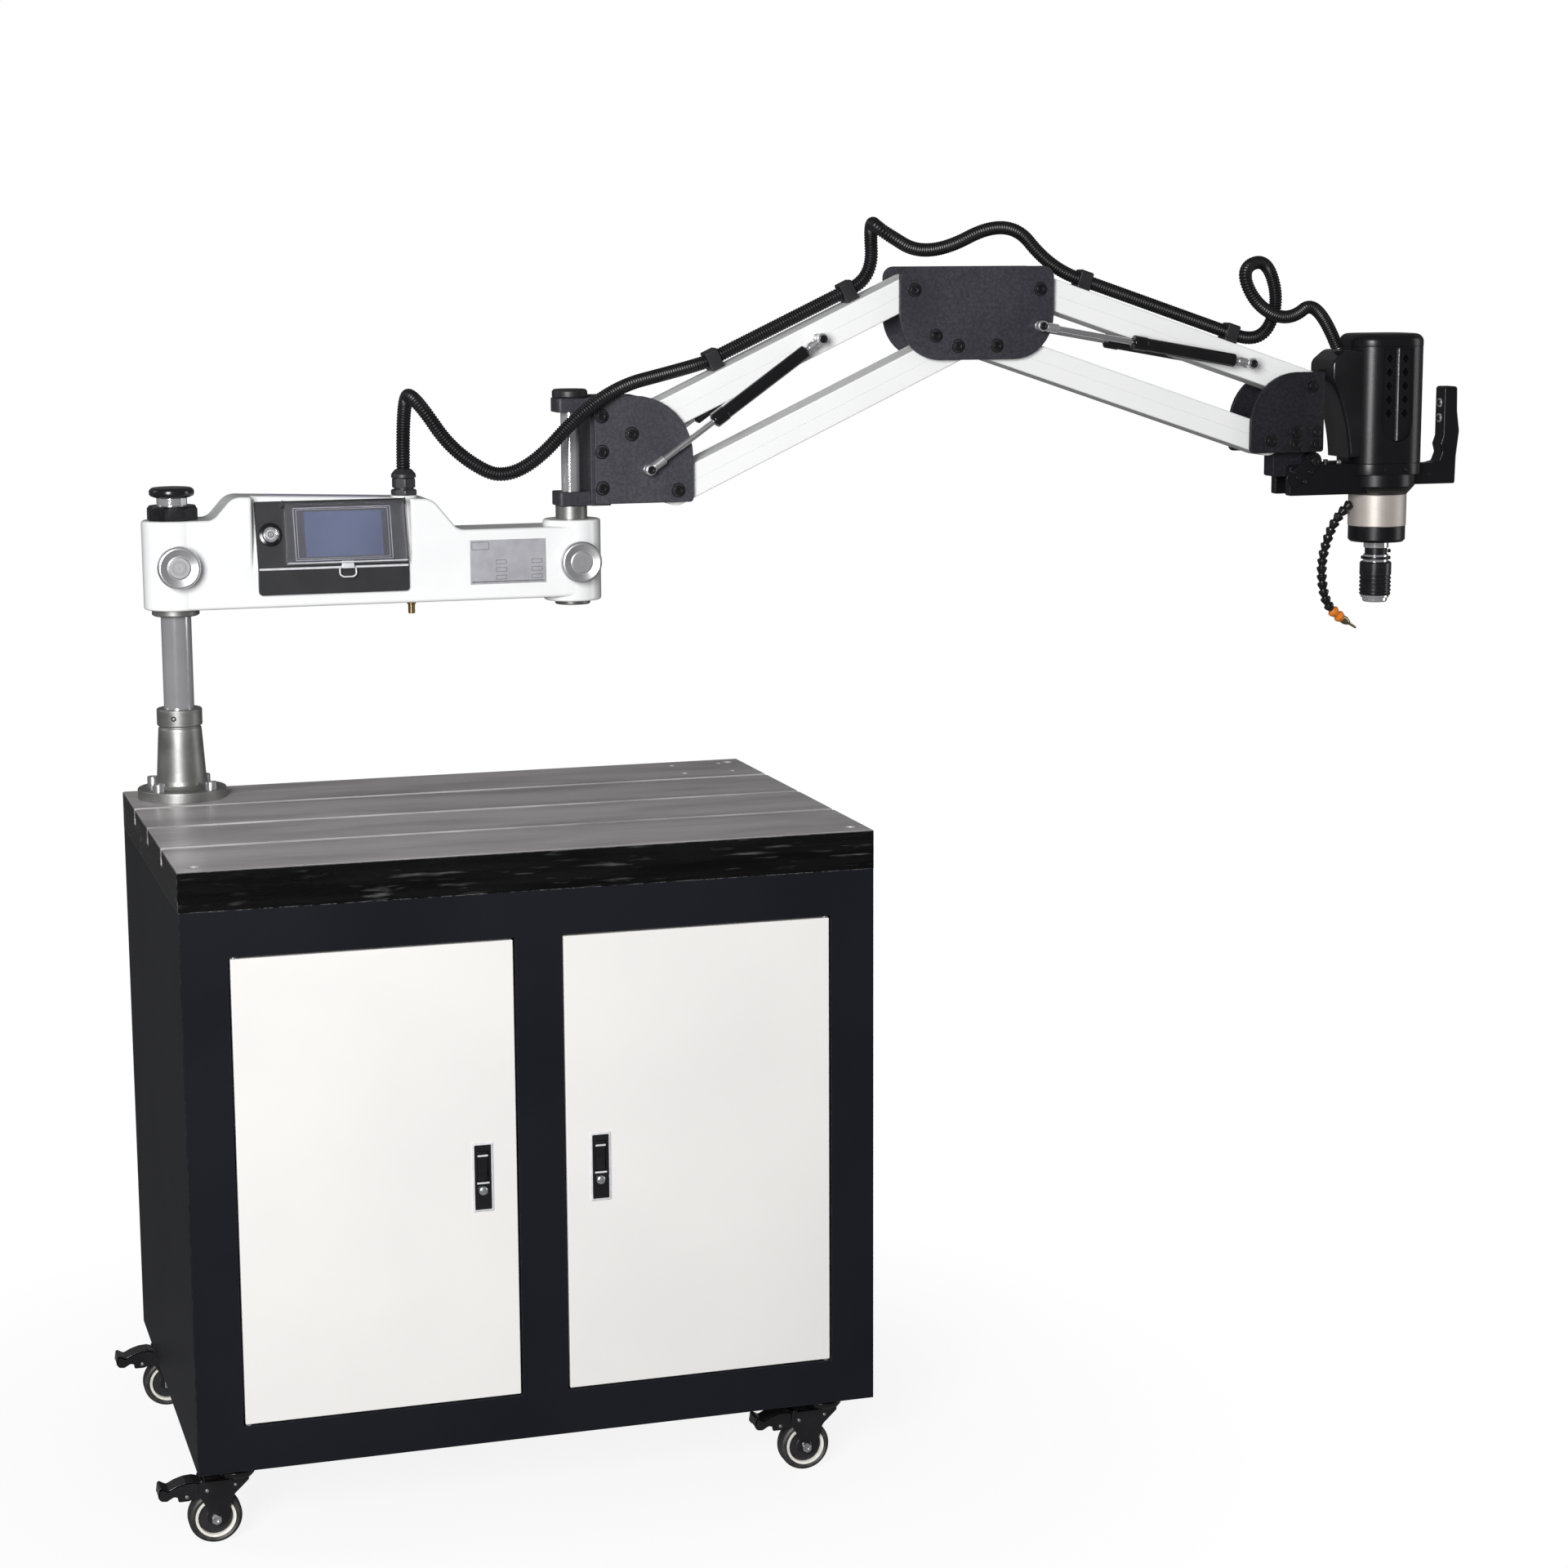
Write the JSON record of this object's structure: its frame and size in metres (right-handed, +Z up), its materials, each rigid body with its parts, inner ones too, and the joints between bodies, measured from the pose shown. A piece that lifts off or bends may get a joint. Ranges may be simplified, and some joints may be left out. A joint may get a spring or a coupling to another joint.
{
  "type": "arm tapping machine",
  "caption": "Wheeled cabinet with a slotted table, a column, a swing arm with touch panel, and sprung parallelogram arms that carry an upright tapping head.",
  "frame": {"origin": "on the floor, under the middle of the table", "axes": "+Z up, +X along the cabinet's front to the right, towards the arm, +Y from the doors to the back"},
  "size_m": [2.3291, 0.6954, 1.8633],
  "materials": {
    "cabinet_paint": "satin navy-black powder coat",
    "door_paint": "off-white powder coat",
    "latch_chrome": "polished",
    "caster_black": "gloss black",
    "wheel_rubber": "polyurethane tyre on a nylon rim",
    "pedal_black": "gloss black",
    "table_iron": "ground top, black painted sides",
    "base_steel": "turned",
    "column_chrome": "hard chrome",
    "nut_black": "blackened steel",
    "knob_black": "gloss",
    "arm_white": "gloss white enamel",
    "panel_black": "satin",
    "cover_clear": "clear polycarbonate",
    "button_steel": "satin",
    "fitting_brass": "nylon gland and brass drain",
    "knob_aluminium": "turned",
    "plate_black": "textured powder coat",
    "link_white": "white powder coat",
    "spring_black": "gloss black",
    "rod_chrome": "polished",
    "motor_black": "black anodised",
    "cover_black": "moulded",
    "ring_champagne": "champagne anodised",
    "grip_black": "moulded",
    "conduit_black": "corrugated",
    "hose_black": "jointed hose",
    "hand_button": "gloss"
  },
  "bodies": {
    "base": {"cabinet": "cabinet_paint", "t_slot_table": "table_iron", "column_base": "base_steel", "column": "column_chrome", "caster_plates": "caster_black", "column_lock_nut": "nut_black"},
    "cap_knob": {"column_cap_knob": "knob_black"},
    "swing_arm": {"swing_arm": "arm_white", "control_panel": "panel_black", "arm_fittings": "fitting_brass", "pivot_shaft": "column_chrome"},
    "column_knob": {"column_clamp_knob": "knob_aluminium"},
    "shaft_knob": {"shaft_clamp_knob": "knob_aluminium"},
    "power_switch": {"power_button": "button_steel"},
    "cover": {"panel_cover": "cover_clear"},
    "arm_base": {"base_bracket": "plate_black", "base_plates": "plate_black", "conduit_base_loop": "conduit_black"},
    "lower_top": {"lower_top_link": "link_white", "conduit_lower_run": "conduit_black"},
    "lower_bottom": {"lower_bottom_link": "link_white"},
    "lower_cylinders": {"lower_spring_cylinders": "spring_black"},
    "lower_rods": {"lower_spring_rods": "rod_chrome"},
    "elbow": {"elbow_plates": "plate_black", "conduit_elbow_loop": "conduit_black"},
    "upper_top": {"upper_top_link": "link_white", "conduit_upper_run": "conduit_black"},
    "upper_bottom": {"upper_bottom_link": "link_white"},
    "upper_cylinders": {"upper_spring_cylinders": "spring_black"},
    "upper_rods": {"upper_spring_rods": "rod_chrome"},
    "arm_end": {"end_plates": "plate_black", "conduit_head_loop": "conduit_black"},
    "head": {"head_yoke": "plate_black", "motor_housing": "motor_black", "motor_cover": "cover_black", "torque_ring": "ring_champagne", "handle": "grip_black", "coolant_hose": "hose_black"},
    "spindle": {"spindle": "column_chrome"},
    "chuck_sleeve": {"chuck_sleeve": "nut_black"},
    "trigger_top": {"handle_button_top": "hand_button"},
    "trigger_bottom": {"handle_button_bottom": "hand_button"},
    "left_door": {"left_door": "door_paint"},
    "left_lever": {"left_latch_lever": "latch_chrome"},
    "left_button": {"left_latch_button": "latch_chrome"},
    "right_door": {"right_door": "door_paint"},
    "right_lever": {"right_latch_lever": "latch_chrome"},
    "right_button": {"right_latch_button": "latch_chrome"},
    "fork_front_left": {"caster_fork_front_left": "caster_black"},
    "wheel_front_left": {"caster_wheel_front_left": "wheel_rubber"},
    "pedal_front_left": {"brake_pedal_front_left": "pedal_black"},
    "fork_front_right": {"caster_fork_front_right": "caster_black"},
    "wheel_front_right": {"caster_wheel_front_right": "wheel_rubber"},
    "pedal_front_right": {"brake_pedal_front_right": "pedal_black"},
    "fork_back_left": {"caster_fork_back_left": "caster_black"},
    "wheel_back_left": {"caster_wheel_back_left": "wheel_rubber"},
    "pedal_back_left": {"brake_pedal_back_left": "pedal_black"},
    "fork_back_right": {"caster_fork_back_right": "caster_black"},
    "wheel_back_right": {"caster_wheel_back_right": "wheel_rubber"},
    "pedal_back_right": {"brake_pedal_back_right": "pedal_black"}
  },
  "joints": [
    {"name": "main_swing", "type": "hinge", "parent": "base", "child": "swing_arm", "pos_m": [-0.417, 0.268, 0.982], "axis": [0, 0, 1], "range_deg": [-180, 180]},
    {"name": "cap_turn", "type": "hinge", "parent": "base", "child": "cap_knob", "pos_m": [-0.417, 0.268, 1.444], "axis": [0, 0, 1], "continuous": true},
    {"name": "column_clamp", "type": "hinge", "parent": "swing_arm", "child": "column_knob", "pos_m": [-0.417, 0.268, 1.342], "axis": [0, -1, 0], "range_deg": [0, 180]},
    {"name": "shaft_clamp", "type": "hinge", "parent": "swing_arm", "child": "shaft_knob", "pos_m": [0.207, 0.268, 1.33], "axis": [0, -1, 0], "range_deg": [0, 180]},
    {"name": "power_press", "type": "slide", "parent": "swing_arm", "child": "power_switch", "axis": [0, 0.9659, -0.2588], "range_m": [0, 0.0025], "stiffness_N_per_m": 400},
    {"name": "cover_lift", "type": "hinge", "parent": "swing_arm", "child": "cover", "pos_m": [0, 0.23657, 1.43218], "axis": [-1, 0, 0], "range_deg": [0, 110]},
    {"name": "arm_swing", "type": "hinge", "parent": "swing_arm", "child": "arm_base", "pos_m": [0.207, 0.268, 0.982], "axis": [0, 0, 1], "range_deg": [-120, 120]},
    {"name": "lower_lift", "type": "hinge", "parent": "arm_base", "child": "lower_top", "pos_m": [0.296, 0.268, 1.527], "axis": [0, -1, 0], "range_deg": [-40, 30], "deforming": ["conduit_base_loop", "conduit_elbow_loop"]},
    {"name": "lower_follow", "type": "hinge", "parent": "arm_base", "child": "lower_bottom", "pos_m": [0.371, 0.268, 1.437], "axis": [0, -1, 0], "range_deg": [-40, 30]},
    {"name": "elbow_level", "type": "hinge", "parent": "lower_top", "child": "elbow", "pos_m": [0.76728, 0.268, 1.74676], "axis": [0, -1, 0], "range_deg": [-30, 40]},
    {"name": "lower_spring_turn", "type": "hinge", "parent": "lower_top", "child": "lower_cylinders", "pos_m": [0.60596, 0.268, 1.67153], "axis": [0, -1, 0], "range_deg": [-0.7, 0.76]},
    {"name": "lower_spring_stroke", "type": "slide", "parent": "lower_cylinders", "child": "lower_rods", "axis": [-0.8168, 0, -0.5769], "range_m": [-0.0425, 0.0322]},
    {"name": "upper_lift", "type": "hinge", "parent": "elbow", "child": "upper_top", "pos_m": [0.98428, 0.268, 1.74676], "axis": [0, -1, 0], "range_deg": [-42, 33], "deforming": ["conduit_elbow_loop", "conduit_head_loop"]},
    {"name": "upper_follow", "type": "hinge", "parent": "elbow", "child": "upper_bottom", "pos_m": [0.90928, 0.268, 1.65676], "axis": [0, -1, 0], "range_deg": [-42, 33]},
    {"name": "arm_end_level", "type": "hinge", "parent": "upper_top", "child": "arm_end", "pos_m": [1.47741, 0.268, 1.58176], "axis": [0, -1, 0], "range_deg": [-33, 42]},
    {"name": "upper_spring_turn", "type": "hinge", "parent": "upper_top", "child": "upper_cylinders", "pos_m": [1.35792, 0.268, 1.62174], "axis": [0, -1, 0], "range_deg": [-2.24, 1.87]},
    {"name": "upper_spring_stroke", "type": "slide", "parent": "upper_cylinders", "child": "upper_rods", "axis": [-0.9849, 0, 0.1731], "range_m": [-0.0409, 0.0323]},
    {"name": "head_tilt", "type": "hinge", "parent": "arm_end", "child": "head", "pos_m": [1.48701, 0.268, 1.45596], "axis": [0, 1, 0], "range_deg": [0, 30]},
    {"name": "spindle_spin", "type": "hinge", "parent": "head", "child": "spindle", "pos_m": [1.62701, 0.268, 1.282], "axis": [0, 0, -1], "continuous": true},
    {"name": "sleeve_lift", "type": "slide", "parent": "spindle", "child": "chuck_sleeve", "axis": [0, 0, 1], "range_m": [0, 0.004], "stiffness_N_per_m": 1500, "springref_m": -0.004},
    {"name": "trigger_top_press", "type": "slide", "parent": "head", "child": "trigger_top", "axis": [1, 0, 0], "range_m": [0, 0.0025], "stiffness_N_per_m": 300},
    {"name": "trigger_bottom_press", "type": "slide", "parent": "head", "child": "trigger_bottom", "axis": [1, 0, 0], "range_m": [0, 0.0025], "stiffness_N_per_m": 300},
    {"name": "left_door_swing", "type": "hinge", "parent": "base", "child": "left_door", "pos_m": [-0.4265, -0.341, 0.516], "axis": [0, 0, -1], "range_deg": [0, 105]},
    {"name": "left_lever_pull", "type": "hinge", "parent": "left_door", "child": "left_lever", "pos_m": [-0.086, -0.3423, 0.5497], "axis": [-1, 0, 0], "range_deg": [0, 25]},
    {"name": "left_button_press", "type": "slide", "parent": "left_door", "child": "left_button", "axis": [0, 1, 0], "range_m": [0, 0.0025], "stiffness_N_per_m": 300},
    {"name": "right_door_swing", "type": "hinge", "parent": "base", "child": "right_door", "pos_m": [0.4265, -0.341, 0.516], "axis": [0, 0, 1], "range_deg": [0, 105]},
    {"name": "right_lever_pull", "type": "hinge", "parent": "right_door", "child": "right_lever", "pos_m": [0.086, -0.3423, 0.5497], "axis": [-1, 0, 0], "range_deg": [0, 25]},
    {"name": "right_button_press", "type": "slide", "parent": "right_door", "child": "right_button", "axis": [0, 1, 0], "range_m": [0, 0.0025], "stiffness_N_per_m": 300},
    {"name": "swivel_front_left", "type": "hinge", "parent": "base", "child": "fork_front_left", "pos_m": [-0.44, -0.286, 0.12], "axis": [0, 0, 1], "continuous": true},
    {"name": "roll_front_left", "type": "hinge", "parent": "fork_front_left", "child": "wheel_front_left", "pos_m": [-0.472, -0.286, 0.038], "axis": [0, 1, 0], "continuous": true},
    {"name": "brake_front_left", "type": "hinge", "parent": "fork_front_left", "child": "pedal_front_left", "pos_m": [-0.484, -0.286, 0.082], "axis": [0, -1, 0], "range_deg": [0, 10]},
    {"name": "swivel_front_right", "type": "hinge", "parent": "base", "child": "fork_front_right", "pos_m": [0.44, -0.286, 0.12], "axis": [0, 0, 1], "continuous": true},
    {"name": "roll_front_right", "type": "hinge", "parent": "fork_front_right", "child": "wheel_front_right", "pos_m": [0.408, -0.286, 0.038], "axis": [0, 1, 0], "continuous": true},
    {"name": "brake_front_right", "type": "hinge", "parent": "fork_front_right", "child": "pedal_front_right", "pos_m": [0.396, -0.286, 0.082], "axis": [0, -1, 0], "range_deg": [0, 10]},
    {"name": "swivel_back_left", "type": "hinge", "parent": "base", "child": "fork_back_left", "pos_m": [-0.44, 0.286, 0.12], "axis": [0, 0, 1], "continuous": true},
    {"name": "roll_back_left", "type": "hinge", "parent": "fork_back_left", "child": "wheel_back_left", "pos_m": [-0.472, 0.286, 0.038], "axis": [0, 1, 0], "continuous": true},
    {"name": "brake_back_left", "type": "hinge", "parent": "fork_back_left", "child": "pedal_back_left", "pos_m": [-0.484, 0.286, 0.082], "axis": [0, -1, 0], "range_deg": [0, 10]},
    {"name": "swivel_back_right", "type": "hinge", "parent": "base", "child": "fork_back_right", "pos_m": [0.44, 0.286, 0.12], "axis": [0, 0, 1], "continuous": true},
    {"name": "roll_back_right", "type": "hinge", "parent": "fork_back_right", "child": "wheel_back_right", "pos_m": [0.408, 0.286, 0.038], "axis": [0, 1, 0], "continuous": true},
    {"name": "brake_back_right", "type": "hinge", "parent": "fork_back_right", "child": "pedal_back_right", "pos_m": [0.396, 0.286, 0.082], "axis": [0, -1, 0], "range_deg": [0, 10]}
  ],
  "couplings": [
    {"joint": "lower_follow", "follows": "lower_lift", "ratio": 1},
    {"joint": "elbow_level", "follows": "lower_lift", "ratio": -1},
    {"joint": "lower_spring_turn", "follows": "lower_lift", "ratio": -0.0066},
    {"joint": "lower_spring_stroke", "follows": "lower_lift", "m_per_rad": 0.05951},
    {"joint": "upper_follow", "follows": "upper_lift", "ratio": 1},
    {"joint": "arm_end_level", "follows": "upper_lift", "ratio": -1},
    {"joint": "upper_spring_turn", "follows": "upper_lift", "ratio": 0.0414},
    {"joint": "upper_spring_stroke", "follows": "upper_lift", "m_per_rad": 0.0544}
  ]
}
